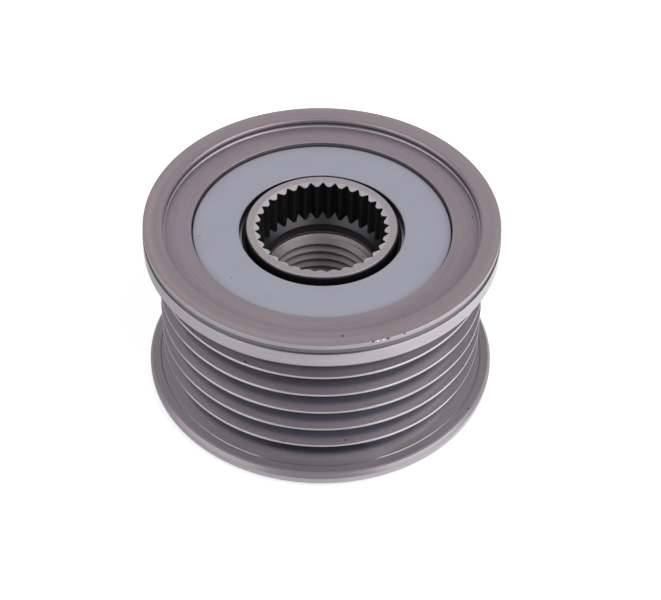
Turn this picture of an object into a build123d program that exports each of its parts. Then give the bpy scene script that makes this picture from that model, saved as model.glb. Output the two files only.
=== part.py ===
from build123d import *
import math
import os

os.makedirs("parts", exist_ok=True)

# Overrunning alternator pulley, in millimetres.
# The axis is Z, the front (cap side) is +Z, and the origin is the middle of the hub's rear face.

# Radii are built up from the shaft thread outwards, and heights from the ring's rear face forwards.

# Hub, inside
thread_radius = 8.0
pilot_step = 0.5
pilot_depth = 6.0
clear_bore_step = 0.45
clear_bore_length = 0.86
relief_step = 0.4
relief_width = 1.37
hub_edge_break = 0.4

# Tool spline in the hub's front end
spline_teeth = 33
spline_turn = 2.16
spline_tip_step = 0.33
spline_tooth_height = 0.62
spline_depth = 6.0
spline_floor_angle = 50.0
spline_tip_land = 0.5
spline_valley_land = 0.14
spline_tip_rounding = 0.18
lead_in_step = 0.2
lead_in_drop = 0.35

# Hub, outside
hub_face_width = 1.18
hub_seat_step = 0.42
hub_collar_step = 0.4
hub_sunk = 1.43

# Ramp sleeve and drawn clutch sleeve
ramp_sleeve_wall = 1.48
ramp_sleeve_top_gap = 0.5
ramp_angle = 8.0
cup_wall = 1.36
cup_corner_rounding = 0.4
cup_lip_reach = 1.42
cup_lip_thickness = 0.9

# Support bearings
needle_count = 14
needle_radius = 1.23
needle_cage_wall = 2.0
needle_cage_rim = 0.58
needle_pocket_play = 0.12
spacer_thickness = 0.6

# Clutch rollers, their springs and their cage
roller_count = 8
roller_radius = 1.5
roller_length = 4.6
roller_end_play = 0.1
roller_travel = 0.9
clutch_cage_rim = 0.8
spring_sheet = 0.16
spring_end_room = 0.5
spring_folds = 4
spring_depth = 1.5
spring_solid_length = 1.9

# Grooved ring, from its bore outwards
plate_seat_width = 2.02
ledge_width = 3.96
cap_seat_step = 0.06
cap_groove_depth = 0.56
rim_width = 2.96
band_depth = 0.08
land_proud = 0.1
flange_proud = 0.3
crest_drop = 1.95

# Grooved ring, from its rear face forwards
ring_rear_z = 1.1
rear_flange_edge = 1.6
front_land_width = 2.59
front_band_width = 0.84
rim_height = 0.77
rim_chamfer = 0.1
edge_break = 0.2
cap_lip_width = 0.6
cap_lip_rounding = 0.42
cap_groove_width = 1.1
ledge_rise = 0.36

# Belt grooves
groove_count = 6
groove_pitch = 3.56
groove_angle = 40.0
groove_root_radius = 0.5
crest_land = 0.36
groove_mouth_chamfer = 0.45

# End plates
plate_thickness = 1.4
plate_edge_rounding = 0.45
plate_radius_gap = 0.16
front_plate_sunk = 0.64
rear_plate_sunk = 0.3
front_plate_gap = 1.02
rear_plate_gap = 0.9

# Seals, each behind a thin steel washer
seal_washer_thickness = 0.3
seal_washer_gap = 0.59
seal_thickness = 0.75
seal_body_width = 3.4
seal_lip_thickness = 0.4
seal_lip_gap = 0.1

# Clearances
seat_gap = 0.02
running_gap = 0.03
side_gap = 0.3

# Radii that follow from the sizes above
pilot_radius = thread_radius + pilot_step
clear_bore_radius = thread_radius + clear_bore_step
relief_radius = clear_bore_radius + relief_step
shoulder_radius = clear_bore_radius + relief_step / 2
spline_tip_radius = relief_radius + spline_tip_step
spline_valley_radius = spline_tip_radius + spline_tooth_height
lead_in_radius = spline_valley_radius + lead_in_step
hub_nose_radius = lead_in_radius + hub_face_width
hub_seat_radius = hub_nose_radius + hub_seat_step
hub_collar_radius = hub_seat_radius + hub_collar_step
raceway_radius = hub_seat_radius + seat_gap + ramp_sleeve_wall
pitch_radius = raceway_radius + running_gap + needle_radius
outer_race_radius = pitch_radius + needle_radius + running_gap
cup_lip_radius = outer_race_radius - cup_lip_reach
cup_outer_radius = outer_race_radius + cup_wall
ring_bore_radius = cup_outer_radius + seat_gap
plate_pocket_radius = ring_bore_radius + plate_seat_width
plate_radius = plate_pocket_radius - plate_radius_gap
ledge_radius = plate_pocket_radius + ledge_width
cap_lip_radius = ledge_radius + cap_seat_step
cap_groove_radius = cap_lip_radius + cap_groove_depth
rim_radius = cap_lip_radius + rim_width
front_band_radius = rim_radius - band_depth
front_land_radius = rim_radius + land_proud
rear_flange_radius = front_land_radius + flange_proud
crest_radius = front_land_radius - crest_drop
front_plate_hole_radius = hub_nose_radius + front_plate_gap
rear_plate_hole_radius = hub_collar_radius + rear_plate_gap
seal_body_radius = ring_bore_radius - seal_body_width
cage_inner_radius = pitch_radius - needle_cage_wall / 2
cage_outer_radius = pitch_radius + needle_cage_wall / 2

# Heights that follow from the sizes above
half_angle = math.radians(groove_angle / 2)
half_opening = (groove_pitch - crest_land) / 2


def flank_half_width(radius):
    """Half the width of a groove at this distance from the axis."""
    return half_opening + (radius - crest_radius) * math.tan(half_angle)


def floor_drop(radius):
    """How far the cone under the spline lies below its valley ends at this distance from the axis."""
    return (spline_valley_radius - radius) * math.tan(math.radians(spline_floor_angle))


rear_mouth_z = ring_rear_z + rear_flange_edge
first_groove_z = rear_mouth_z + flank_half_width(rear_flange_radius)
last_groove_z = first_groove_z + (groove_count - 1) * groove_pitch
front_mouth_z = last_groove_z + flank_half_width(front_land_radius)
front_band_z = front_mouth_z + front_land_width
rim_z = front_band_z + front_band_width
ring_top_z = rim_z + rim_height
cap_groove_top_z = ring_top_z - cap_lip_width
cap_groove_floor_z = cap_groove_top_z - cap_groove_width
ledge_z = cap_groove_floor_z + ledge_rise
front_plate_top_z = ledge_z - front_plate_sunk
front_plate_z = front_plate_top_z - plate_thickness
rear_plate_z = ring_rear_z + rear_plate_sunk
rear_plate_top_z = rear_plate_z + plate_thickness
front_washer_z = front_plate_z - seal_washer_thickness
rear_washer_z = rear_plate_top_z
front_seal_z = front_washer_z - seal_thickness
rear_seal_z = rear_washer_z + seal_washer_thickness
cup_rear_z = rear_seal_z + seal_thickness
cup_front_z = front_seal_z
race_rear_z = cup_rear_z + cup_lip_thickness
hub_top_z = ring_top_z - hub_sunk
hub_seat_z = race_rear_z
ramp_sleeve_top_z = cup_front_z - ramp_sleeve_top_gap
spline_floor_z = hub_top_z - spline_depth
tip_floor_z = spline_floor_z - floor_drop(spline_tip_radius)
relief_z = spline_floor_z - floor_drop(shoulder_radius)
clear_bore_top_z = relief_z - relief_width
thread_top_z = clear_bore_top_z - clear_bore_length
thread_start_z = pilot_depth + pilot_step

# The needle cages take the room that the clutch and the spacer rings leave between the ends.
window_length = roller_length + 2 * roller_end_play
clutch_cage_length = window_length + 2 * clutch_cage_rim
bearing_room = cup_front_z - race_rear_z - 2 * spacer_thickness - clutch_cage_length - 4 * side_gap
needle_cage_length = bearing_room / 2
pocket_length = needle_cage_length - 2 * needle_cage_rim
needle_length = pocket_length - 2 * needle_pocket_play
rear_cage_z = race_rear_z + spacer_thickness + side_gap
front_cage_z = cup_front_z - spacer_thickness - side_gap - needle_cage_length
clutch_z = (rear_cage_z + front_cage_z + needle_cage_length) / 2

# Each clutch roller stands on its ramp where it just locks, and its window leaves it room to travel.
roller_orbit = outer_race_radius - roller_radius - running_gap
ramp_tilt = math.radians(ramp_angle)
ramp_offset = roller_orbit * math.cos(ramp_tilt) - roller_radius - running_gap
window_width = side_gap + 2 * roller_radius + roller_travel + spring_solid_length
roller_offset = window_width / 2 - side_gap - roller_radius
window_tilt = math.asin(roller_offset / roller_orbit)
window_lead = math.degrees(window_tilt)
spring_height = roller_length - 2 * spring_end_room
spring_radius = roller_orbit * math.cos(window_tilt)
spring_start = roller_radius + spring_sheet - roller_offset
spring_end = window_width / 2 - spring_sheet
fold_length = (spring_end - spring_start) / spring_folds


def export_piece(builder, name):
    """Label a finished piece and write it as its own file."""
    builder.part.label = name
    export_step(builder.part, f"parts/{name}.step")


def rims_near(builder, height):
    """The circular edges at this height, from the smallest to the largest."""
    circles = builder.edges().filter_by(GeomType.CIRCLE)
    near = circles.filter_by_position(Axis.Z, height - edge_break, height + edge_break)
    return near.sort_by(SortBy.RADIUS)


def turned_ring(inner, outer, bottom, top):
    """A plain turned ring between two radii and two heights."""
    with BuildPart() as ring:
        with BuildSketch(Plane.XY.offset(bottom)):
            Circle(outer)
            Circle(inner, mode=Mode.SUBTRACT)
        extrude(amount=top - bottom)
    return ring


# Belt groove: a V with a rounded root, drawn from its point to past the flange.
apex_radius = crest_radius - half_opening / math.tan(half_angle)
cutter_radius = rear_flange_radius + crest_drop
with BuildSketch() as groove_profile:
    Polygon(
        (apex_radius, 0),
        (cutter_radius, -flank_half_width(cutter_radius)),
        (cutter_radius, flank_half_width(cutter_radius)),
        align=None,
    )
    fillet(groove_profile.vertices().sort_by(Axis.X)[0], groove_root_radius)

# Grooved ring: a turned blank with the groove repeated along the axis.
with BuildPart() as pulley_ring:
    with BuildSketch(Plane.XZ):
        with BuildLine():
            Polyline(
                (ring_bore_radius, rear_plate_top_z),
                (plate_pocket_radius, rear_plate_top_z),
                (plate_pocket_radius, ring_rear_z),
                (rear_flange_radius - edge_break, ring_rear_z),
                (rear_flange_radius, ring_rear_z + edge_break),
                (rear_flange_radius, first_groove_z),
                (crest_radius, first_groove_z),
                (crest_radius, last_groove_z),
                (front_land_radius, last_groove_z),
                (front_land_radius, front_band_z),
                (front_band_radius, front_band_z),
                (front_band_radius, rim_z),
                (rim_radius, rim_z),
                (rim_radius, ring_top_z - rim_chamfer),
                (rim_radius - rim_chamfer, ring_top_z),
                (cap_lip_radius, ring_top_z),
                (cap_lip_radius, cap_groove_top_z),
                (cap_groove_radius, cap_groove_top_z),
                (cap_groove_radius, cap_groove_floor_z),
                (ledge_radius, cap_groove_floor_z),
                (ledge_radius, ledge_z),
                (plate_pocket_radius, ledge_z),
                (plate_pocket_radius, front_plate_z),
                (ring_bore_radius, front_plate_z),
                close=True,
            )
        make_face()
        groove_places = [(0, first_groove_z + i * groove_pitch) for i in range(groove_count)]
        with Locations(*groove_places):
            add(groove_profile.sketch, mode=Mode.SUBTRACT)
    revolve(axis=Axis.Z)
    for mouth_z in (rear_mouth_z, front_mouth_z):
        chamfer(rims_near(pulley_ring, mouth_z)[-1], groove_mouth_chamfer)
    fillet(rims_near(pulley_ring, ring_top_z)[0], cap_lip_rounding)
export_piece(pulley_ring, "pulley_ring")


# End plates: flat sheet rings with a rounded, turned-down inner edge.
def end_plate(hole_radius, bottom, outer_side):
    """A sheet plate. outer_side is the height of its visible face."""
    with BuildPart() as plate:
        with BuildSketch(Plane.XY.offset(bottom)):
            Circle(plate_radius)
            Circle(hole_radius, mode=Mode.SUBTRACT)
        extrude(amount=plate_thickness)
        for rim, rounding in ((0, plate_edge_rounding), (-1, edge_break)):
            fillet(rims_near(plate, outer_side)[rim], rounding)
    return plate


front_plate = end_plate(front_plate_hole_radius, front_plate_z, front_plate_top_z)
export_piece(front_plate, "front_plate")
rear_plate = end_plate(rear_plate_hole_radius, rear_plate_z, rear_plate_z)
export_piece(rear_plate, "rear_plate")


# Seals: a steel washer and a rubber body in the ring's bore, with a thin lip that runs on the hub.
def shaft_seal(shaft_radius, lip_z, inner_z):
    """A seal from its lip's height to its inner face."""
    lip_radius = shaft_radius + seal_lip_gap
    lip_edge_z = lip_z + math.copysign(seal_lip_thickness, inner_z - lip_z)
    with BuildPart() as seal:
        with BuildSketch(Plane.XZ):
            Polygon(
                (cup_outer_radius, inner_z),
                (cup_outer_radius, lip_z),
                (lip_radius, lip_z),
                (lip_radius, lip_edge_z),
                (seal_body_radius, inner_z),
                align=None,
            )
        revolve(axis=Axis.Z)
    return seal


front_seal = shaft_seal(hub_nose_radius, front_washer_z, front_seal_z)
export_piece(front_seal, "front_seal")
rear_seal = shaft_seal(hub_collar_radius, rear_seal_z, cup_rear_z)
export_piece(rear_seal, "rear_seal")
front_seal_washer = turned_ring(
    hub_nose_radius + seal_washer_gap, cup_outer_radius, front_washer_z, front_plate_z)
export_piece(front_seal_washer, "front_seal_washer")
rear_seal_washer = turned_ring(
    hub_collar_radius + seal_washer_gap, cup_outer_radius, rear_washer_z, rear_seal_z)
export_piece(rear_seal_washer, "rear_seal_washer")

# Drawn clutch sleeve: a cup with one inward lip and an open front end.
with BuildPart() as clutch_sleeve:
    with BuildSketch(Plane.XY.offset(cup_rear_z)):
        Circle(cup_outer_radius)
        Circle(cup_lip_radius, mode=Mode.SUBTRACT)
    extrude(amount=cup_front_z - cup_rear_z)
    with BuildSketch(Plane.XY.offset(race_rear_z)):
        Circle(outer_race_radius)
    extrude(amount=cup_front_z - race_rear_z, mode=Mode.SUBTRACT)
    outer_rims = clutch_sleeve.edges().filter_by(GeomType.CIRCLE).sort_by(SortBy.RADIUS)[-2:]
    fillet(outer_rims.sort_by(Axis.Z)[0], cup_corner_rounding)
export_piece(clutch_sleeve, "clutch_sleeve")

# Hub: a turned sleeve with a rear pilot bore, the thread's bore and a tool spline.
with BuildPart() as hub:
    with BuildSketch(Plane.XZ):
        with BuildLine():
            Polyline(
                (pilot_radius + hub_edge_break, 0),
                (hub_collar_radius - hub_edge_break, 0),
                (hub_collar_radius, hub_edge_break),
                (hub_collar_radius, hub_seat_z),
                (hub_seat_radius, hub_seat_z),
                (hub_seat_radius, ramp_sleeve_top_z),
                (hub_nose_radius, ramp_sleeve_top_z + hub_seat_step),
                (hub_nose_radius, hub_top_z - edge_break),
                (hub_nose_radius - edge_break, hub_top_z),
                (spline_tip_radius, hub_top_z),
                (spline_tip_radius, tip_floor_z),
                (shoulder_radius, relief_z),
                (relief_radius, relief_z),
                (relief_radius, clear_bore_top_z),
                (clear_bore_radius, clear_bore_top_z),
                (clear_bore_radius, thread_top_z + clear_bore_step),
                (thread_radius, thread_top_z),
                (thread_radius, thread_start_z),
                (pilot_radius, pilot_depth),
                (pilot_radius, hub_edge_break),
                close=True,
            )
        make_face()
    revolve(axis=Axis.Z)
    valley_half = spline_valley_land / 2
    tip_pitch = 2 * math.pi * spline_tip_radius / spline_teeth
    opening_half = (tip_pitch - spline_tip_land) / 2
    flank_slope = (opening_half - valley_half) / spline_tooth_height
    gap_start_radius = spline_tip_radius - edge_break
    gap_start_half = opening_half + flank_slope * edge_break
    with BuildSketch(Plane.XY.offset(tip_floor_z)) as spline_shape:
        Circle(spline_tip_radius)
        with PolarLocations(0, spline_teeth, start_angle=spline_turn):
            Polygon(
                (gap_start_radius, gap_start_half),
                (gap_start_radius, -gap_start_half),
                (spline_valley_radius, -valley_half),
                (spline_valley_radius, valley_half),
                align=None,
            )
        tip_corners = spline_shape.vertices().filter_by(
            lambda corner: math.isclose(math.hypot(corner.X, corner.Y), spline_tip_radius, rel_tol=1e-4))
        fillet(tip_corners, spline_tip_rounding)
    extrude(amount=hub_top_z - tip_floor_z, mode=Mode.SUBTRACT)
    with BuildSketch(Plane.XZ):
        Polygon(
            (spline_tip_radius, tip_floor_z),
            (lead_in_radius, spline_floor_z - floor_drop(lead_in_radius)),
            (lead_in_radius, tip_floor_z - edge_break),
            (spline_tip_radius, tip_floor_z - edge_break),
            align=None,
        )
    revolve(axis=Axis.Z)
    with BuildSketch(Plane.XZ):
        Polygon(
            (0, hub_top_z),
            (lead_in_radius, hub_top_z),
            (spline_tip_radius, hub_top_z - lead_in_drop),
            (0, hub_top_z - lead_in_drop),
            align=None,
        )
    revolve(axis=Axis.Z, mode=Mode.SUBTRACT)
export_piece(hub, "hub")

# Ramp sleeve: raceways at both ends and one flat ramp for each clutch roller.
with BuildPart() as ramp_sleeve:
    with BuildSketch(Plane.XY.offset(hub_seat_z)):
        Circle(raceway_radius)
        Circle(hub_seat_radius + seat_gap, mode=Mode.SUBTRACT)
    extrude(amount=ramp_sleeve_top_z - hub_seat_z)
    chamfer(ramp_sleeve.edges().filter_by(GeomType.CIRCLE).group_by(SortBy.RADIUS)[-1], edge_break)
    with BuildSketch(Plane.XY.offset(clutch_z - clutch_cage_length / 2)):
        with PolarLocations(0, roller_count, start_angle=ramp_angle):
            with Locations((ramp_offset, 0)):
                Rectangle(raceway_radius, raceway_radius, align=(Align.MIN, Align.CENTER))
    extrude(amount=clutch_cage_length, mode=Mode.SUBTRACT)
export_piece(ramp_sleeve, "ramp_sleeve")

# Clutch cage: a ring with one window for each roller and its spring.
with BuildPart() as clutch_cage:
    with BuildSketch(Plane.XY.offset(clutch_z - clutch_cage_length / 2)):
        Circle(outer_race_radius - side_gap)
        Circle(raceway_radius + seat_gap, mode=Mode.SUBTRACT)
    extrude(amount=clutch_cage_length)
    with BuildSketch(Plane.XY.offset(clutch_z - window_length / 2)):
        with PolarLocations(0, roller_count, start_angle=window_lead):
            with Locations((pitch_radius, 0)):
                Rectangle(2 * (outer_race_radius - raceway_radius), window_width)
    extrude(amount=window_length, mode=Mode.SUBTRACT)
export_piece(clutch_cage, "clutch_cage")

# Clutch rollers, and the folded springs that push them up their ramps.
for number in range(roller_count):
    turn = 360 / roller_count * number
    roller_angle = math.radians(turn)
    with BuildPart() as clutch_roller:
        with BuildSketch(Plane.XY.offset(clutch_z - roller_length / 2)):
            with Locations((roller_orbit * math.cos(roller_angle), roller_orbit * math.sin(roller_angle))):
                Circle(roller_radius)
        extrude(amount=roller_length)
        chamfer(clutch_roller.edges().filter_by(GeomType.CIRCLE), edge_break)
    export_piece(clutch_roller, f"clutch_roller_{number + 1}")

    with BuildPart() as clutch_spring:
        spring_plane = Plane.XY.offset(clutch_z - spring_height / 2).rotated((0, 0, turn + window_lead))
        with BuildSketch(spring_plane):
            with BuildLine():
                fold_points = [
                    (spring_radius + spring_depth / 2 * (-1) ** fold, spring_start + fold_length * fold)
                    for fold in range(spring_folds + 1)
                ]
                Polyline(*fold_points)
            trace(line_width=spring_sheet)
        extrude(amount=spring_height)
    export_piece(clutch_spring, f"clutch_spring_{number + 1}")


# Support bearings: each a cage with its needles, one behind and one before the clutch.
def needle_cage(bottom):
    """A cage ring with one pocket for each needle."""
    with BuildPart() as cage:
        with BuildSketch(Plane.XY.offset(bottom)):
            Circle(cage_outer_radius)
            Circle(cage_inner_radius, mode=Mode.SUBTRACT)
        extrude(amount=needle_cage_length)
        with BuildSketch(Plane.XY.offset(bottom + needle_cage_rim)):
            with PolarLocations(pitch_radius, needle_count):
                Rectangle(2 * needle_cage_wall, 2 * (needle_radius + needle_pocket_play))
        extrude(amount=pocket_length, mode=Mode.SUBTRACT)
    return cage


def needle(number, bottom):
    """One needle, standing in its pocket."""
    needle_angle = math.radians(360 / needle_count * number)
    with BuildPart() as roller:
        with BuildSketch(Plane.XY.offset(bottom + needle_cage_rim + needle_pocket_play)):
            with Locations((pitch_radius * math.cos(needle_angle), pitch_radius * math.sin(needle_angle))):
                Circle(needle_radius)
        extrude(amount=needle_length)
        chamfer(roller.edges().filter_by(GeomType.CIRCLE), edge_break)
    return roller


for side, cage_z in (("rear", rear_cage_z), ("front", front_cage_z)):
    export_piece(needle_cage(cage_z), f"{side}_needle_cage")
    for number in range(needle_count):
        export_piece(needle(number, cage_z), f"{side}_needle_{number + 1}")

# Spacer rings keep the needle cages off the cup's lip and off the front seal.
spacer_inner = raceway_radius + side_gap
spacer_outer = outer_race_radius - seat_gap
rear_spacer = turned_ring(spacer_inner, spacer_outer, race_rear_z, race_rear_z + spacer_thickness)
export_piece(rear_spacer, "rear_spacer_ring")
front_spacer = turned_ring(spacer_inner, spacer_outer, cup_front_z - spacer_thickness, cup_front_z)
export_piece(front_spacer, "front_spacer_ring")

print("ring", ring_rear_z, round(ring_top_z, 3), "ledge", round(ledge_z, 3))
print("hub bore", round(spline_tip_radius, 3), round(relief_z, 3), round(thread_top_z, 3))
print("grooves from", round(first_groove_z, 3), "to", round(last_groove_z, 3))
print("clutch", round(clutch_z, 3), "cages", round(rear_cage_z, 3), round(front_cage_z, 3))
print("needle", round(needle_radius, 3), "pitch", round(pitch_radius, 3), "roller orbit", round(roller_orbit, 3))
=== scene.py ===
import math
import bmesh
import bpy
from mathutils import Matrix, Vector


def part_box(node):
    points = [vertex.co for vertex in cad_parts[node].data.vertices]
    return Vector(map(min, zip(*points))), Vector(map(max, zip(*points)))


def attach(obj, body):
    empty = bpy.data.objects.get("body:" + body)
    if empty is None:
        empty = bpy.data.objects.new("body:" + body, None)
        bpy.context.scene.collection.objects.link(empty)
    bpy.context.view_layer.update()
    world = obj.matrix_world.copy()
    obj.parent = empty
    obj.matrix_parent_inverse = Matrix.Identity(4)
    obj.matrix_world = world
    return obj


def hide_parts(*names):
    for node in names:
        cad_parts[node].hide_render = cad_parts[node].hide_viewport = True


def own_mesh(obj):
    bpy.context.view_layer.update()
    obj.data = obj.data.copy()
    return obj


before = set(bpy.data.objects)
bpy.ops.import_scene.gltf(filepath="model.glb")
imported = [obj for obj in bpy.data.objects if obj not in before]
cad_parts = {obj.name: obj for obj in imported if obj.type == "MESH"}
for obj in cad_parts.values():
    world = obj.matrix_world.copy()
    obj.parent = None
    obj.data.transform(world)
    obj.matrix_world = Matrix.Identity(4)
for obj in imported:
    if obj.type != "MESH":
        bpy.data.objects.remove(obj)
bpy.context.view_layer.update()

mm = 0.001
fullTurn = 2 * math.pi
spotEdge = {"soft": 0.35, "from": 0.2, "to": 0.8}        # how softly a speck's or a nick's edge fades
print("frame loaded:", len(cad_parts), "nodes")


# Shader maths: a wrapped socket takes part in sums, and the sum adds the Math nodes
class Wire:
    def __init__(self, shader, socket):
        self.shader = shader
        self.socket = socket

    def sum(self, operation, first, second=None):
        values = {0: first} if second is None else {0: first, 1: second}
        return self.shader.node("ShaderNodeMath", {"operation": operation}, values)

    def __add__(self, other):
        return self.sum("ADD", self, other)

    def __radd__(self, other):
        return self.sum("ADD", other, self)

    def __sub__(self, other):
        return self.sum("SUBTRACT", self, other)

    def __rsub__(self, other):
        return self.sum("SUBTRACT", other, self)

    def __mul__(self, other):
        return self.sum("MULTIPLY", self, other)

    def __rmul__(self, other):
        return self.sum("MULTIPLY", other, self)

    def __truediv__(self, other):
        return self.sum("DIVIDE", self, other)


class Shader:
    def __init__(self, name, look):
        self.material = bpy.data.materials.new(name)
        self.material.use_nodes = True
        self.tree = self.material.node_tree
        self.tree.nodes.clear()
        self.surface = self.tree.nodes.new("ShaderNodeBsdfPrincipled")
        output = self.tree.nodes.new("ShaderNodeOutputMaterial")
        self.tree.links.new(self.surface.outputs[0], output.inputs[0])
        self.put(self.surface, look)

    def put(self, node, sockets):
        for key, value in sockets.items():
            if isinstance(value, Wire):
                self.tree.links.new(value.socket, node.inputs[key])
            else:
                node.inputs[key].default_value = value

    def node(self, kind, settings, sockets, out=0):
        node = self.tree.nodes.new(kind)
        for key, value in settings.items():
            setattr(node, key, value)
        self.put(node, sockets)
        return Wire(self, node.outputs[out])

    def place(self):         # the point, its distance from the axis, its height and its direction
        point = self.node("ShaderNodeTexCoord", {}, {}, "Object")
        flat = self.node("ShaderNodeVectorMath", {"operation": "MULTIPLY"}, {0: point, 1: (1, 1, 0)})
        radius = self.node("ShaderNodeVectorMath", {"operation": "LENGTH"}, {0: flat}, "Value")
        way = self.node("ShaderNodeVectorMath", {"operation": "NORMALIZE"}, {0: flat})
        height = self.node("ShaderNodeSeparateXYZ", {}, {0: point}, 2)
        side = self.node("ShaderNodeSeparateXYZ", {}, {0: way}, 0)
        front = self.node("ShaderNodeSeparateXYZ", {}, {0: way}, 1)
        return point, radius / mm, height / mm, side, front

    def step(self, value, start, end):
        return self.node("ShaderNodeMapRange", {"interpolation_type": "SMOOTHSTEP"},
                         {"Value": value, "From Min": start, "From Max": end})

    def between(self, value, low, high, soft):
        return self.step(value, low - soft, low + soft) \
            * (1 - self.step(value, high - soft, high + soft))

    def noise(self, vector, scale, detail, roughness=0.5):
        return self.node("ShaderNodeTexNoise", {}, {"Vector": vector, "Scale": scale, "Detail": detail,
                                                    "Roughness": roughness})

    def joined(self, x, y, z):
        return self.node("ShaderNodeCombineXYZ", {}, {0: x, 1: y, 2: z})

    def blend(self, factor, first, second):
        return self.node("ShaderNodeMix", {"data_type": "RGBA"}, {0: factor, 6: first, 7: second}, 2)

    def bump(self, height, distance, strength):
        return self.node("ShaderNodeBump", {},
                         {"Height": height, "Distance": distance, "Strength": strength})

    def toned(self, colour, shade):         # the colour, lighter or darker by the shade
        return self.node("ShaderNodeVectorMath", {"operation": "MULTIPLY"},
                         {0: colour, 1: self.joined(shade, shade, shade)})

    def spots(self, point, centres):         # 1 inside any of the small spots, 0 elsewhere
        total = None
        for x, y, z, size in centres:
            away = self.node("ShaderNodeVectorMath", {"operation": "DISTANCE"},
                             {0: point, 1: (x * mm, y * mm, z * mm)}, "Value")
            spot = 1 - self.step(away / mm, size * (1 - spotEdge["soft"]), size * (1 + spotEdge["soft"]))
            total = spot if total is None else total + spot
        return self.step(total, spotEdge["from"], spotEdge["to"])

    def finish(self, sockets):
        self.put(self.surface, sockets)
        return self.material


class Surround(Shader):
    def __init__(self, world):
        self.tree = world.node_tree
        self.tree.nodes.clear()


# Turning marks: rings round the axis, fine across the cut and slow along it
turning = {"sideDrift": 0.9, "frontDrift": 0.7, "detail": 3.0, "roughness": 0.6}


def turningMarks(shader, radius, height, side, front, perMillimetre):
    drift = side * turning["sideDrift"] + front * turning["frontDrift"]
    return shader.noise(shader.joined(radius * perMillimetre, height * perMillimetre, drift), 1.0,
                        turning["detail"], turning["roughness"])


# Mesh helpers: a section's corners, rounded, then spun about the axis
meshing = {"roundingSteps": 4, "merge": 0.001, "crease": 28}


def roundCorner(mesh, corner, reach):
    arms = [(edge.other_vert(corner).co - corner.co).normalized() for edge in corner.link_edges]
    opening = arms[0].angle(arms[1])
    offset = reach / math.tan(opening / 2)
    bmesh.ops.bevel(mesh, geom=[corner], offset=offset, offset_type="OFFSET",
                    segments=meshing["roundingSteps"], profile=0.5, affect="VERTICES", material=-1)


def turnedPiece(name, outline, steps, body, nodes):
    # outline holds (distance from the axis, height, rounding) for each corner, in millimetres
    mesh = bmesh.new()
    corners = [mesh.verts.new((radius * mm, 0, height * mm)) for radius, height, _ in outline]
    for first, second in zip(corners, corners[1:] + corners[:1]):
        mesh.edges.new((first, second))
    for corner, (_, _, rounding) in zip(corners, outline):
        if rounding:
            roundCorner(mesh, corner, rounding * mm)
    bmesh.ops.spin(mesh, geom=mesh.verts[:] + mesh.edges[:], cent=(0, 0, 0), axis=(0, 0, 1),
                   dvec=(0, 0, 0), angle=fullTurn, steps=steps, use_merge=True)
    return finished(name, mesh, body, nodes)


def finished(name, mesh, body, nodes):
    bmesh.ops.remove_doubles(mesh, verts=mesh.verts, dist=meshing["merge"] * mm)
    bmesh.ops.recalc_face_normals(mesh, faces=mesh.faces)
    for face in mesh.faces:
        face.smooth = True
    data = bpy.data.meshes.new(name)
    mesh.to_mesh(data)
    mesh.free()
    data.set_sharp_from_angle(angle=math.radians(meshing["crease"]))
    piece = bpy.data.objects.new(name, data)
    bpy.context.scene.collection.objects.link(piece)
    weighted = piece.modifiers.new("evenShading", "WEIGHTED_NORMAL")
    weighted.keep_sharp = True
    if nodes:
        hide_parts(*nodes)
    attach(piece, body)
    return piece


# Grooved ring
ring = {
    "grooves": 6, "pitch": 3.56, "halfAngle": 20.0, "rootRounding": 0.5,
    "crestRadius": 24.15, "crestLand": 0.36, "crestRounding": 0.11,
    "rearZ": 1.1, "flangeRadius": 26.4, "flangeEdge": 1.6,
    "landRadius": 26.1, "landWidth": 2.59, "bandRadius": 25.92, "bandWidth": 0.84,
    "rimRadius": 26.0, "rimHeight": 0.77, "mouthChamfer": 0.42, "rearRounding": 0.3,
    "lipRadius": 23.04, "lipWidth": 0.6, "lipRounding": 0.42, "clipRadius": 23.6, "clipWidth": 0.45,
    "footRounding": 0.16, "ledgeDrop": 1.34, "pocketRadius": 19.02, "plateSunk": 0.64,
    "plateThickness": 1.4, "boreRadius": 17.0, "rearPocketDepth": 1.7, "edgeRounding": 0.12,
    "fineRounding": 0.06, "steps": 240,
    "flangeLineRadius": 24.75, "flangeLineWidth": 0.14, "flangeLineDepth": 0.09,
}
slope = math.tan(math.radians(ring["halfAngle"]))
halfOpening = (ring["pitch"] - ring["crestLand"]) / 2


def flankHalfWidth(radius):
    return halfOpening + (radius - ring["crestRadius"]) * slope


firstGroove = ring["rearZ"] + ring["flangeEdge"] + flankHalfWidth(ring["flangeRadius"])
lastGroove = firstGroove + (ring["grooves"] - 1) * ring["pitch"]
landZ = lastGroove + flankHalfWidth(ring["landRadius"])
bandZ = landZ + ring["landWidth"]
rimZ = bandZ + ring["bandWidth"]
topZ = rimZ + ring["rimHeight"]
ledgeZ = topZ - ring["ledgeDrop"]
clipTopZ = topZ - ring["lipWidth"]
clipFloorZ = clipTopZ - ring["clipWidth"]
plateTopZ = ledgeZ - ring["plateSunk"]


def flangeFace(radius):
    return firstGroove - flankHalfWidth(radius)


def landFace(radius):
    return lastGroove + flankHalfWidth(radius)


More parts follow.
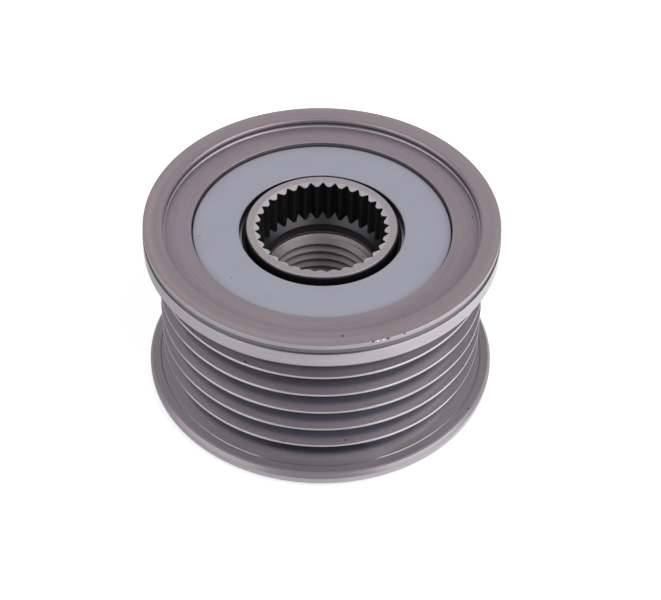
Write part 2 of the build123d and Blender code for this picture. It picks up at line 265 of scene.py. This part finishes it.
def ringOutline():
    edge, fine, crest = ring["edgeRounding"], ring["fineRounding"], ring["crestRounding"]
    chamfer = ring["mouthChamfer"]
    flangeMouth, landMouth = ring["flangeRadius"] - chamfer, ring["landRadius"] - chamfer
    apexRadius = ring["crestRadius"] - halfOpening / slope
    rearPocketZ = ring["rearZ"] + ring["rearPocketDepth"]
    lineRadius, lineHalf = ring["flangeLineRadius"], ring["flangeLineWidth"] / 2
    outline = [
        (ring["boreRadius"], rearPocketZ, 0),
        (ring["pocketRadius"], rearPocketZ, 0),
        (ring["pocketRadius"], ring["rearZ"], fine),
        (ring["flangeRadius"], ring["rearZ"], ring["rearRounding"]),
        (ring["flangeRadius"], ring["rearZ"] + ring["flangeEdge"] - chamfer, fine),
        (flangeMouth, flangeFace(flangeMouth), fine),
        (lineRadius + lineHalf, flangeFace(lineRadius + lineHalf), 0),
        (lineRadius, flangeFace(lineRadius) - ring["flangeLineDepth"], 0),
        (lineRadius - lineHalf, flangeFace(lineRadius - lineHalf), 0),
    ]
    for index in range(ring["grooves"]):
        middle = firstGroove + index * ring["pitch"]
        outline.append((apexRadius, middle, ring["rootRounding"]))
        if index < ring["grooves"] - 1:
            outline.append((ring["crestRadius"], middle + halfOpening, crest))
            outline.append((ring["crestRadius"], middle + halfOpening + ring["crestLand"], crest))
    outline += [
        (landMouth, landFace(landMouth), fine),
        (ring["landRadius"], landZ + chamfer, fine),
        (ring["landRadius"], bandZ, fine),
        (ring["bandRadius"], bandZ, 0),
        (ring["bandRadius"], rimZ, 0),
        (ring["rimRadius"], rimZ, fine),
        (ring["rimRadius"], topZ, edge),
        (ring["lipRadius"], topZ, ring["lipRounding"]),
        (ring["lipRadius"], clipTopZ, fine),
        (ring["clipRadius"], clipTopZ, 0),
        (ring["clipRadius"], clipFloorZ, 0),
        (ring["lipRadius"], clipFloorZ, fine),
        (ring["lipRadius"], ledgeZ, ring["footRounding"]),
        (ring["pocketRadius"], ledgeZ, edge),
        (ring["pocketRadius"], plateTopZ - ring["plateThickness"], 0),
        (ring["boreRadius"], plateTopZ - ring["plateThickness"], 0),
    ]
    return outline


groovedRing = turnedPiece("groovedRing", ringOutline(), ring["steps"], "pulley", ["pulley_ring"])
print("grooved ring turned")

# End plates: their inner edge is rolled over
plates = {
    "radius": 18.86, "frontHole": 12.1, "rearHole": 12.9,
    "rollRounding": 0.2, "rimRounding": 0.12, "steps": 160,
}


def plateOutline(hole, seatZ, faceZ):
    return [
        (hole, seatZ, 0),
        (hole, faceZ, plates["rollRounding"]),
        (plates["radius"], faceZ, plates["rimRounding"]),
        (plates["radius"], seatZ, 0),
    ]


frontSeat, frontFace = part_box("front_plate")[0].z / mm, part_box("front_plate")[1].z / mm
rearFace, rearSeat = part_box("rear_plate")[0].z / mm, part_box("rear_plate")[1].z / mm
frontPlate = turnedPiece("frontPlate", plateOutline(plates["frontHole"], frontSeat, frontFace),
                         plates["steps"], "pulley", ["front_plate"])
rearPlate = turnedPiece("rearPlate", plateOutline(plates["rearHole"], rearSeat, rearFace),
                        plates["steps"], "pulley", ["rear_plate"])
print("end plates turned")

# Shaft thread: a helical ridge in the hub's bore
thread = {
    "pitch": 1.5, "outerRadius": 8.05, "innerRadius": 7.19, "rootWidth": 1.42, "crestWidth": 0.24,
    "startZ": 6.9, "endZ": 18.3, "stepsPerTurn": 72,
}


def threadTurns():
    mesh = bmesh.new()
    root, crest = thread["rootWidth"] / 2, thread["crestWidth"] / 2
    section = [(thread["outerRadius"], -root), (thread["innerRadius"], -crest),
               (thread["innerRadius"], crest), (thread["outerRadius"], root)]
    mesh.faces.new([mesh.verts.new((radius * mm, 0, (thread["startZ"] + height) * mm))
                    for radius, height in section])
    turns = (thread["endZ"] - thread["startZ"]) / thread["pitch"]
    steps = round(turns * thread["stepsPerTurn"])
    rise = (thread["endZ"] - thread["startZ"]) * mm / steps
    bmesh.ops.spin(mesh, geom=mesh.faces[:], cent=(0, 0, 0), axis=(0, 0, 1), dvec=(0, 0, rise),
                   angle=fullTurn * turns, steps=steps)
    return finished("shaftThread", mesh, "hub", [])


shaftThread = threadTurns()
print("shaft thread turned")

# Clutch springs: the CAD's own shapes, as pieces of their own on the hub
clutch = {"rollers": 8, "rampTurn": 8.0, "travel": 0.9}


def clutchSpring(number):
    node = f"clutch_spring_{number + 1}"
    mesh = bmesh.new()
    mesh.from_mesh(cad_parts[node].data)
    spring = finished(f"clutchSpring{number + 1}", mesh, "hub", [node])
    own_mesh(spring)
    return spring


clutchSprings = [clutchSpring(number) for number in range(clutch["rollers"])]
print("clutch springs placed")

# Materials
steelLook = {
    "colour": (0.365, 0.308, 0.340, 1), "topRingHighlightColour": (0.440, 0.352, 0.376, 1),
    "edgeColour": (0.300, 0.260, 0.285, 1), "pocketShadeColour": (0.120, 0.108, 0.118, 1),
    "brightColour": (0.480, 0.466, 0.488, 1), "bandColour": (0.190, 0.180, 0.190, 1),
    "rimColour": (0.430, 0.415, 0.440, 1), "wallColour": (0.250, 0.222, 0.240, 1),
    "crestColour": (0.500, 0.485, 0.510, 1), "flankColour": (0.425, 0.388, 0.418, 1),
    "rootShadeColour": (0.225, 0.222, 0.262, 1), "rootRadius": 23.05, "rootSoft": 0.40,
    "upperPaintedShade": 0.45, "topRingHighlightShare": 0.55, "speckColour": (0.045, 0.040, 0.038, 1),
    "nickColour": (0.800, 0.790, 0.800, 1),
    "specks": [(2.96, -24.05, 29.43, 0.16), (7.10, -24.98, 29.33, 0.15), (9.15, -24.34, 29.33, 0.18),
               (11.40, -23.38, 29.35, 0.14), (3.77, -23.25, 7.30, 0.15), (-10.45, -21.38, 21.45, 0.16),
               (21.03, -11.47, 10.71, 0.14), (22.37, -12.82, 2.92, 0.14), (-5.18, -23.51, 7.11, 0.13),
               (1.77, -26.22, 2.72, 0.14), (22.05, 2.04, 28.09, 0.14)],
    "nicks": [(7.75, -24.82, 29.30, 0.16), (8.55, -24.55, 29.30, 0.14)],
    "metal": 0.55, "grooveMetal": 0.92, "roughness": 0.34, "brightRoughness": 0.24,
    "grooveRoughness": 0.17, "cloudRoughness": 0.08, "marksRoughness": 0.08,
    "marksPerMillimetre": 7.0, "coarsePerMillimetre": 1.3, "marksDepth": 0.004, "marksStrength": 0.5,
    "grooveCalm": 0.75, "speckDepth": 2.0, "cloudScale": 90.0, "cloudDetail": 4.0, "fineScale": 2400.0,
    "fineDetail": 2.0, "fineRoughness": 0.6, "patchSize": 0.5, "patchSide": 2.2, "patchFront": 1.7,
    "patchDetail": 4.0, "baseShade": 0.50, "marksShade": 0.26, "coarseShade": 0.36, "cloudShade": 0.08,
    "patchShade": 0.20, "fineShade": 0.16,
}
# Where each of the ring's finishes, painted shades and painted highlights starts and ends, in
# millimetres from the form that it belongs to
zones = {
    "outside": (-0.25, -0.15), "soft": 0.04, "rimTop": 0.06, "flange": (2.2, 2.4), "edge": (2.25, 3.10),
    "edgeSoft": 0.05, "crest": (-0.07, -0.02), "grooveBelow": 2.4, "grooveAbove": 2.6, "grooveSoft": 0.1,
    "wallInner": 0.06, "wallOuter": 0.1, "wallSoft": 0.01, "wallFoot": (0.10, 0.16),
    "wallTop": (-0.34, -0.005), "footInner": 0.20, "footOuter": 0.04, "footSoft": 0.02,
    "footLow": 0.01, "footHigh": 0.14, "footHeightSoft": 0.01, "pocketInner": 0.05, "pocketOuter": 0.06,
    "pocketSoft": 0.02, "pocketLow": 0.2, "pocketHigh": 0.06, "pocketHeightSoft": 0.05,
    "upper": (17.5, 24.5), "topRingHighlight": (24.75, 25.75), "topRingHighlightSoft": 0.3, "topRingHighlightTop": (-0.2, -0.1),
    "clear": (0.2, 0.9),
}


def turnedSteel():
    shader = Shader("turnedSteel", {})
    point, radius, height, side, front = shader.place()
    marks = turningMarks(shader, radius, height, side, front, steelLook["marksPerMillimetre"])
    coarse = turningMarks(shader, radius, height, side, front, steelLook["coarsePerMillimetre"])
    cloud = shader.noise(point, steelLook["cloudScale"], steelLook["cloudDetail"])

    def rising(value, base, zone):         # 0 before the zone, 1 past it
        return shader.step(value, base + zone[0], base + zone[1])

    outside = rising(radius, ring["bandRadius"], zones["outside"])
    band = outside * shader.between(height, bandZ, rimZ, zones["soft"])
    rim = outside * shader.between(height, rimZ, topZ - zones["rimTop"], zones["soft"])
    land = outside * shader.between(height, landZ + ring["mouthChamfer"], bandZ, zones["soft"])
    flange = outside * (1 - rising(height, 0, zones["flange"]))
    crest = rising(radius, ring["crestRadius"], zones["crest"]) \
        * shader.between(height, firstGroove, lastGroove, zones["grooveSoft"]) * (1 - outside)
    groove = shader.between(height, firstGroove - zones["grooveBelow"],
                            lastGroove + zones["grooveAbove"], zones["grooveSoft"]) * (1 - outside)
    # painted shade: the lip's inner wall and the clip groove under it are coloured darker than the steel
    wall = shader.between(radius, ring["lipRadius"] - zones["wallInner"],
                          ring["clipRadius"] + zones["wallOuter"], zones["wallSoft"]) \
        * rising(height, ledgeZ, zones["wallFoot"]) * (1 - rising(height, topZ, zones["wallTop"]))
    # painted highlight: a light line along the ledge's outer edge, at the foot of the lip
    foot = shader.between(radius, ring["lipRadius"] - zones["footInner"],
                          ring["lipRadius"] + zones["footOuter"], zones["footSoft"]) \
        * shader.between(height, ledgeZ + zones["footLow"], ledgeZ + zones["footHigh"],
                         zones["footHeightSoft"])
    # painted shade: the step down from the ledge to the plate is near-black
    pocket = shader.between(radius, ring["pocketRadius"] - zones["pocketInner"],
                            ring["pocketRadius"] + zones["pocketOuter"], zones["pocketSoft"]) \
        * shader.between(height, plateTopZ - zones["pocketLow"], ledgeZ - zones["pocketHigh"],
                         zones["pocketHeightSoft"])
    edge = outside * shader.between(height, *zones["edge"], zones["edgeSoft"])
    # painted shade: the groove flanks darken and turn bluer towards the roots
    root = 1 - shader.step(radius, steelLook["rootRadius"] - steelLook["rootSoft"],
                           steelLook["rootRadius"] + steelLook["rootSoft"])
    flanks = shader.blend(root, steelLook["flankColour"], steelLook["rootShadeColour"])
    # painted shade: the upper grooves are darker still, more so towards the top
    flanks = shader.blend(steelLook["upperPaintedShade"] * rising(height, 0, zones["upper"]), flanks,
                          steelLook["rootShadeColour"])
    # painted highlight: a lighter, pinker ring on the top face near its outer edge
    topRingHighlight = steelLook["topRingHighlightShare"] * shader.between(radius, *zones["topRingHighlight"], zones["topRingHighlightSoft"]) \
        * rising(height, topZ, zones["topRingHighlightTop"])
    bright = rising(land + flange, 0, zones["clear"])
    colour = steelLook["colour"]
    # the masks below lay real finishes, painted shades and painted highlights over the steel's colour
    for mask, finish in ((topRingHighlight, steelLook["topRingHighlightColour"]), (band, steelLook["bandColour"]),
                         (groove, flanks), (wall, steelLook["wallColour"]),
                         (bright, steelLook["brightColour"]), (foot, steelLook["crestColour"]),
                         (pocket, steelLook["pocketShadeColour"]), (edge, steelLook["edgeColour"]),
                         (rim, steelLook["rimColour"]), (crest, steelLook["crestColour"])):
        colour = shader.blend(mask, colour, finish)
    patchPlace = shader.joined(radius * steelLook["patchSize"], height * steelLook["patchSize"],
                               side * steelLook["patchSide"] + front * steelLook["patchFront"])
    patches = shader.noise(patchPlace, 1.0, steelLook["patchDetail"])
    fine = shader.noise(point, steelLook["fineScale"], steelLook["fineDetail"],
                        steelLook["fineRoughness"])
    shade = steelLook["baseShade"] + steelLook["marksShade"] * marks \
        + steelLook["coarseShade"] * coarse + steelLook["cloudShade"] * cloud \
        + steelLook["patchShade"] * patches + steelLook["fineShade"] * fine
    specks = shader.spots(point, steelLook["specks"])
    colour = shader.blend(specks, shader.toned(colour, shade), steelLook["speckColour"])
    colour = shader.blend(shader.spots(point, steelLook["nicks"]), colour, steelLook["nickColour"])
    rough = steelLook["roughness"] + (steelLook["brightRoughness"] - steelLook["roughness"]) * bright \
        + (steelLook["grooveRoughness"] - steelLook["roughness"]) * groove \
        + steelLook["cloudRoughness"] * (cloud - 0.5) + steelLook["marksRoughness"] * (marks - 0.5)
    metal = steelLook["metal"] \
        + (1 - steelLook["metal"]) * rising(bright + groove + rim + band, 0, zones["clear"]) \
        - (1 - steelLook["grooveMetal"]) * groove
    relief = marks * (1 - steelLook["grooveCalm"] * groove) - steelLook["speckDepth"] * specks
    normal = shader.bump(relief, steelLook["marksDepth"] * mm, steelLook["marksStrength"])
    return shader.finish({"Base Color": colour, "Roughness": rough, "Metallic": metal, "Normal": normal})


hubLook = {
    "colour": (0.590, 0.525, 0.560, 1), "splineShadeColour": (0.036, 0.037, 0.042, 1),
    "floorColour": (0.056, 0.053, 0.058, 1), "reliefShadeColour": (0.080, 0.078, 0.084, 1),
    "boreShadeColour": (0.300, 0.262, 0.272, 1), "leadInHighlightColour": (0.860, 0.790, 0.830, 1),
    "wallColour": (0.035, 0.033, 0.036, 1), "metal": 0.85, "roughness": 0.36,
    "marksRoughness": 0.12, "cloudRoughness": 0.10, "boreRoughness": 0.12,
    "marksPerMillimetre": 6.0, "marksDepth": 0.005, "marksStrength": 0.6, "cloudScale": 160.0,
    "cloudDetail": 4.0, "streaksRound": 26.0, "streaksAlong": 0.4, "streaksDetail": 3.0,
    "baseShade": 0.70, "marksShade": 0.26, "cloudShade": 0.14, "streaksShade": 0.24,
    # where the hub's forms lie, in millimetres: radii, heights and the slopes of its two cones
    "inside": (9.9, 10.0), "leadInSlope": 0.427, "leadInRadius": 9.18, "leadIn": (27.52, 27.60),
    "spline": (21.0, 21.3), "coneSlope": 1.19, "coneRadius": 8.65, "cone": (20.2, 20.80),
    "coneSoft": 0.05, "relief": (19.2, 20.55), "reliefSoft": 0.06, "boreWall": (8.5, 8.6),
    "bore": (10.0, 19.3), "boreSoft": 0.1, "noseWall": (10.94, 11.06),
}


def hubSteel():
    shader = Shader("hubSteel", {"Metallic": hubLook["metal"]})
    point, radius, height, side, front = shader.place()
    marks = turningMarks(shader, radius, height, side, front, hubLook["marksPerMillimetre"])
    cloud = shader.noise(point, hubLook["cloudScale"], hubLook["cloudDetail"])
    inside = 1 - shader.step(radius, *hubLook["inside"])
    # the lead-in cone at the mouth of the bore; its near-white colour below is a painted highlight
    leadIn = shader.step(height - hubLook["leadInSlope"] * (radius - hubLook["leadInRadius"]),
                         *hubLook["leadIn"])
    # painted shade: the spline teeth are near-black, for the shade deep in the hub
    spline = inside * shader.step(height, *hubLook["spline"]) * (1 - leadIn)
    # painted shade: the cone below the teeth is near-black
    cone = inside * shader.between(height - hubLook["coneSlope"] * (radius - hubLook["coneRadius"]),
                                   *hubLook["cone"], hubLook["coneSoft"])
    pastBore = shader.step(radius, *hubLook["boreWall"])
    # painted shade: the relief groove above the bore is near-black
    relief = inside * shader.between(height, *hubLook["relief"], hubLook["reliefSoft"]) * pastBore
    # painted shade: the bore is coloured darker than the hub's outside
    bore = shader.between(height, *hubLook["bore"], hubLook["boreSoft"]) * inside * (1 - pastBore)
    # painted shade: the nose's outer wall and its edge are near-black, for the shaded gap round the hub
    nose = shader.step(radius, *hubLook["noseWall"])
    # each mask lays a painted shade over the hub's colour, and on the lead-in a painted highlight
    colour = hubLook["colour"]
    for mask, finish in ((spline, "splineShadeColour"), (cone, "floorColour"), (relief, "reliefShadeColour"),
                         (bore, "boreShadeColour"), (inside * leadIn, "leadInHighlightColour"), (nose, "wallColour")):
        colour = shader.blend(mask, colour, hubLook[finish])
    streaksPlace = shader.joined(side * hubLook["streaksRound"], front * hubLook["streaksRound"],
                                 height * hubLook["streaksAlong"])
    streaks = shader.noise(streaksPlace, 1.0, hubLook["streaksDetail"])
    shade = hubLook["baseShade"] + hubLook["marksShade"] * marks + hubLook["cloudShade"] * cloud \
        + hubLook["streaksShade"] * streaks
    rough = hubLook["roughness"] + hubLook["marksRoughness"] * (marks - 0.5) \
        + hubLook["cloudRoughness"] * (cloud - 0.5) + hubLook["boreRoughness"] * bore
    normal = shader.bump(marks, hubLook["marksDepth"] * mm, hubLook["marksStrength"])
    return shader.finish({"Base Color": shader.toned(colour, shade), "Roughness": rough,
                          "Normal": normal})


plateLook = {
    "colour": (0.470, 0.466, 0.555), "speckColour": (0.10, 0.10, 0.12, 1),
    "wallColour": (0.02, 0.02, 0.022, 1),
    "specks": [(-17.9, -2.03, 27.45, 0.10), (-12.72, -10.69, 27.45, 0.10)],
    "metal": 0.35, "roughness": 0.52, "grainRoughness": 0.12, "grainScale": 2600.0, "grainDetail": 3.0,
    "grainSharpness": 0.7, "grainDepth": 0.004, "grainStrength": 0.4, "cloudScale": 180.0,
    "cloudDetail": 4.0, "baseShade": 0.88, "grainShade": 0.14, "cloudShade": 0.10,
    # the dark wall of the front plate's hole, in millimetres
    "frontHalf": (20.0, 21.0), "holeWall": (0.03, 0.10), "wallTop": (-0.26, -0.14),
}


def zincPlate():
    shader = Shader("zincPlate", {"Metallic": plateLook["metal"]})
    point, radius, height, side, front = shader.place()
    grain = shader.noise(point, plateLook["grainScale"], plateLook["grainDetail"],
                         plateLook["grainSharpness"])
    cloud = shader.noise(point, plateLook["cloudScale"], plateLook["cloudDetail"])
    shade = plateLook["baseShade"] + plateLook["grainShade"] * grain + plateLook["cloudShade"] * cloud
    holeStart, holeEnd = [plates["frontHole"] + reach for reach in plateLook["holeWall"]]
    topStart, topEnd = [frontFace + reach for reach in plateLook["wallTop"]]
    wall = shader.step(height, *plateLook["frontHalf"]) * (1 - shader.step(radius, holeStart, holeEnd)) \
        * (1 - shader.step(height, topStart, topEnd))
    colour = shader.blend(wall, shader.toned(plateLook["colour"], shade), plateLook["wallColour"])
    colour = shader.blend(shader.spots(point, plateLook["specks"]), colour, plateLook["speckColour"])
    return shader.finish({
        "Base Color": colour,
        "Roughness": plateLook["roughness"] + plateLook["grainRoughness"] * (grain - 0.5),
        "Normal": shader.bump(grain, plateLook["grainDepth"] * mm, plateLook["grainStrength"]),
    })


plainLook = {
    "detail": 3.0, "baseShade": 0.88, "grainShade": 0.24, "grainRoughness": 0.1, "strength": 0.4,
}


def plainFinish(name, colour, metallic, roughness, scale, depth):
    shader = Shader(name, {"Metallic": metallic})
    point = shader.place()[0]
    grain = shader.noise(point, scale, plainLook["detail"])
    shade = plainLook["baseShade"] + plainLook["grainShade"] * grain
    return shader.finish({"Base Color": shader.toned(colour, shade),
                          "Roughness": roughness + plainLook["grainRoughness"] * (grain - 0.5),
                          "Normal": shader.bump(grain, depth * mm, plainLook["strength"])})


def dress(piece, material):
    piece.data.materials.clear()
    piece.data.materials.append(material)


steel = turnedSteel()
hubFinish = hubSteel()
plateFinish = zincPlate()
rubber = plainFinish("sealRubber", (0.018, 0.018, 0.020), 0.0, 0.55, 900.0, 0.01)
hardened = plainFinish("hardenedSteel", (0.46, 0.45, 0.45), 1.0, 0.28, 500.0, 0.002)
ground = plainFinish("groundSteel", (0.62, 0.62, 0.63), 1.0, 0.16, 700.0, 0.001)
springSteel = plainFinish("springSteel", (0.50, 0.48, 0.43), 1.0, 0.30, 600.0, 0.002)
cagePlastic = plainFinish("cagePlastic", (0.16, 0.125, 0.075), 0.0, 0.48, 420.0, 0.008)

dress(groovedRing, steel)
dress(frontPlate, plateFinish)
dress(rearPlate, plateFinish)
dress(shaftThread, hubFinish)
for spring in clutchSprings:
    dress(spring, springSteel)
finishes = [        # the first word that a node's name holds gives its finish
    ("hub", hubFinish), ("washer", hardened), ("seal", rubber), ("sleeve", hardened),
    ("spacer", hardened), ("spring", springSteel), ("cage", cagePlastic), ("roller", ground),
    ("needle", ground),
]
for name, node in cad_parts.items():
    for word, material in finishes:
        if word in name:
            dress(node, material)
            break
print("materials made")

# Studio: pale floor, soft boxes and a white surround; the floor's glow in reflections is painted light
studio = {
    "floorSize": 1.6, "floorColour": (0.86, 0.86, 0.87, 1), "floorRoughness": 0.9, "floorGlow": 0.55,
    "floorShine": 0.02, "rightPaintedGlow": 0.48, "backPaintedGlow": 0.30, "toRight": (-0.3, 1.3),
    "toBack": (0.1, 0.9), "sideLevel": 0.46, "overheadLevel": 0.32, "backLevel": 0.74,
    "frontLevel": 0.62, "frontLowLevel": 0.20,
    # directions: how far along, up and across each part of the surround starts and ends
    "back": (0.45, 0.75), "backTop": (0.66, 0.82), "backAcross": (0.15, 0.50), "front": (0.35, 0.60),
    "frontUp": (0.50, 0.82), "frontSoft": 0.10, "frontLow": (0.40, 0.80), "frontLowTop": (0.30, 0.50),
    "overhead": (0.75, 0.95),
}
floorMesh = bmesh.new()
bmesh.ops.create_grid(floorMesh, x_segments=1, y_segments=1, size=studio["floorSize"])
floorData = bpy.data.meshes.new("studioFloor")
floorMesh.to_mesh(floorData)
floorMesh.free()
floor = bpy.data.objects.new("studioFloor", floorData)
bpy.context.scene.collection.objects.link(floor)
floorShader = Shader("floorPaper", {
    "Base Color": studio["floorColour"], "Roughness": studio["floorRoughness"],
    "Specular IOR Level": 0.0, "Emission Strength": 1.0,
})
seen = floorShader.node("ShaderNodeLightPath", {}, {}, "Is Camera Ray")
mirrored = floorShader.node("ShaderNodeLightPath", {}, {}, "Is Glossy Ray")
rightward, backward = floorShader.place()[3:]
# painted light: the floor glows for glossy rays only, brighter towards the right and the back, so the
# metal reflects a lighter floor there
paintedReflectionGlow = studio["floorShine"] + studio["rightPaintedGlow"] * floorShader.step(rightward, *studio["toRight"]) \
    + studio["backPaintedGlow"] * floorShader.step(backward, *studio["toBack"])
glow = seen * studio["floorGlow"] + mirrored * paintedReflectionGlow
floorShader.put(floorShader.surface, {"Emission Color": floorShader.joined(glow, glow, glow)})
dress(floor, floorShader.material)

world = bpy.data.worlds.new("studioWorld")
bpy.context.scene.world = world
world.use_nodes = True
surround = Surround(world)
way = surround.node("ShaderNodeTexCoord", {}, {}, "Generated")
across, along, upward = [surround.node("ShaderNodeSeparateXYZ", {}, {0: way}, axis) for axis in range(3)]
acrossSize = surround.node("ShaderNodeMath", {"operation": "ABSOLUTE"}, {0: across})
backWall = surround.step(along, *studio["back"]) * (1 - surround.step(upward, *studio["backTop"])) \
    * (1 - surround.step(acrossSize, *studio["backAcross"]))
frontHigh = surround.step(0 - along, *studio["front"]) \
    * surround.between(upward, *studio["frontUp"], studio["frontSoft"])
frontLow = surround.step(0 - along, *studio["frontLow"]) \
    * (1 - surround.step(upward, *studio["frontLowTop"]))
overhead = surround.step(upward, *studio["overhead"])
level = studio["sideLevel"] + (studio["backLevel"] - studio["sideLevel"]) * backWall \
    + (studio["frontLevel"] - studio["sideLevel"]) * frontHigh \
    + (studio["frontLowLevel"] - studio["sideLevel"]) * frontLow \
    + (studio["overheadLevel"] - studio["sideLevel"]) * overhead
dim = surround.node("ShaderNodeBackground", {}, {"Strength": level})
clean = surround.node("ShaderNodeBackground", {}, {"Strength": 1.0})
cameraRay = surround.node("ShaderNodeLightPath", {}, {}, "Is Camera Ray")
picked = surround.node("ShaderNodeMixShader", {}, {0: cameraRay, 1: dim, 2: clean})
surround.put(surround.tree.nodes.new("ShaderNodeOutputWorld"), {"Surface": picked})

lamps = [
    {"name": "rightBox", "from": (0.62, -0.30, 0.42), "size": 0.90, "power": 5.6},
    {"name": "leftBox", "from": (-0.62, -0.30, 0.42), "size": 0.90, "power": 3.6},
]
lampAimHeight = 15.0
aim = Vector((0, 0, lampAimHeight * mm))
for lamp in lamps:
    data = bpy.data.lights.new(lamp["name"], "AREA")
    data.energy = lamp["power"]
    data.size = lamp["size"]
    light = bpy.data.objects.new(lamp["name"], data)
    bpy.context.scene.collection.objects.link(light)
    place = Vector(lamp["from"])
    towards = (aim - place).to_track_quat("-Z", "Y").to_matrix().to_4x4()
    light.matrix_world = Matrix.Translation(place) @ towards
print("studio built")

# Camera, set from the photograph's circles: focal length in its pixels, distance and height angle
view = {
    "pictureWidth": 661, "pictureHeight": 600, "focalPixels": 1750.1, "distance": 0.26537,
    "elevation": 44.04, "roll": 0.678, "aimHeight": 13.2, "aimPixel": (321.10, 298.41), "sensor": 36.0,
    "clipStart": 0.01,
}
cameraData = bpy.data.cameras.new("productCamera")
cameraData.sensor_width = view["sensor"]
cameraData.lens = view["focalPixels"] / view["pictureWidth"] * view["sensor"]
cameraData.shift_x = (view["pictureWidth"] / 2 - view["aimPixel"][0]) / view["pictureWidth"]
cameraData.shift_y = (view["aimPixel"][1] - view["pictureHeight"] / 2) / view["pictureWidth"]
cameraData.clip_start = view["clipStart"]
camera = bpy.data.objects.new("productCamera", cameraData)
bpy.context.scene.collection.objects.link(camera)
rise = math.radians(view["elevation"])
backOff = Vector((0, -math.cos(rise), math.sin(rise))) * view["distance"]
camera.matrix_world = Matrix.Translation(Vector((0, 0, view["aimHeight"] * mm)) + backOff) \
    @ Matrix.Rotation(math.pi / 2 - rise, 4, "X") @ Matrix.Rotation(math.radians(view["roll"]), 4, "Z")
bpy.context.scene.camera = camera
bpy.context.scene.view_settings.view_transform = "Standard"
print("camera placed")
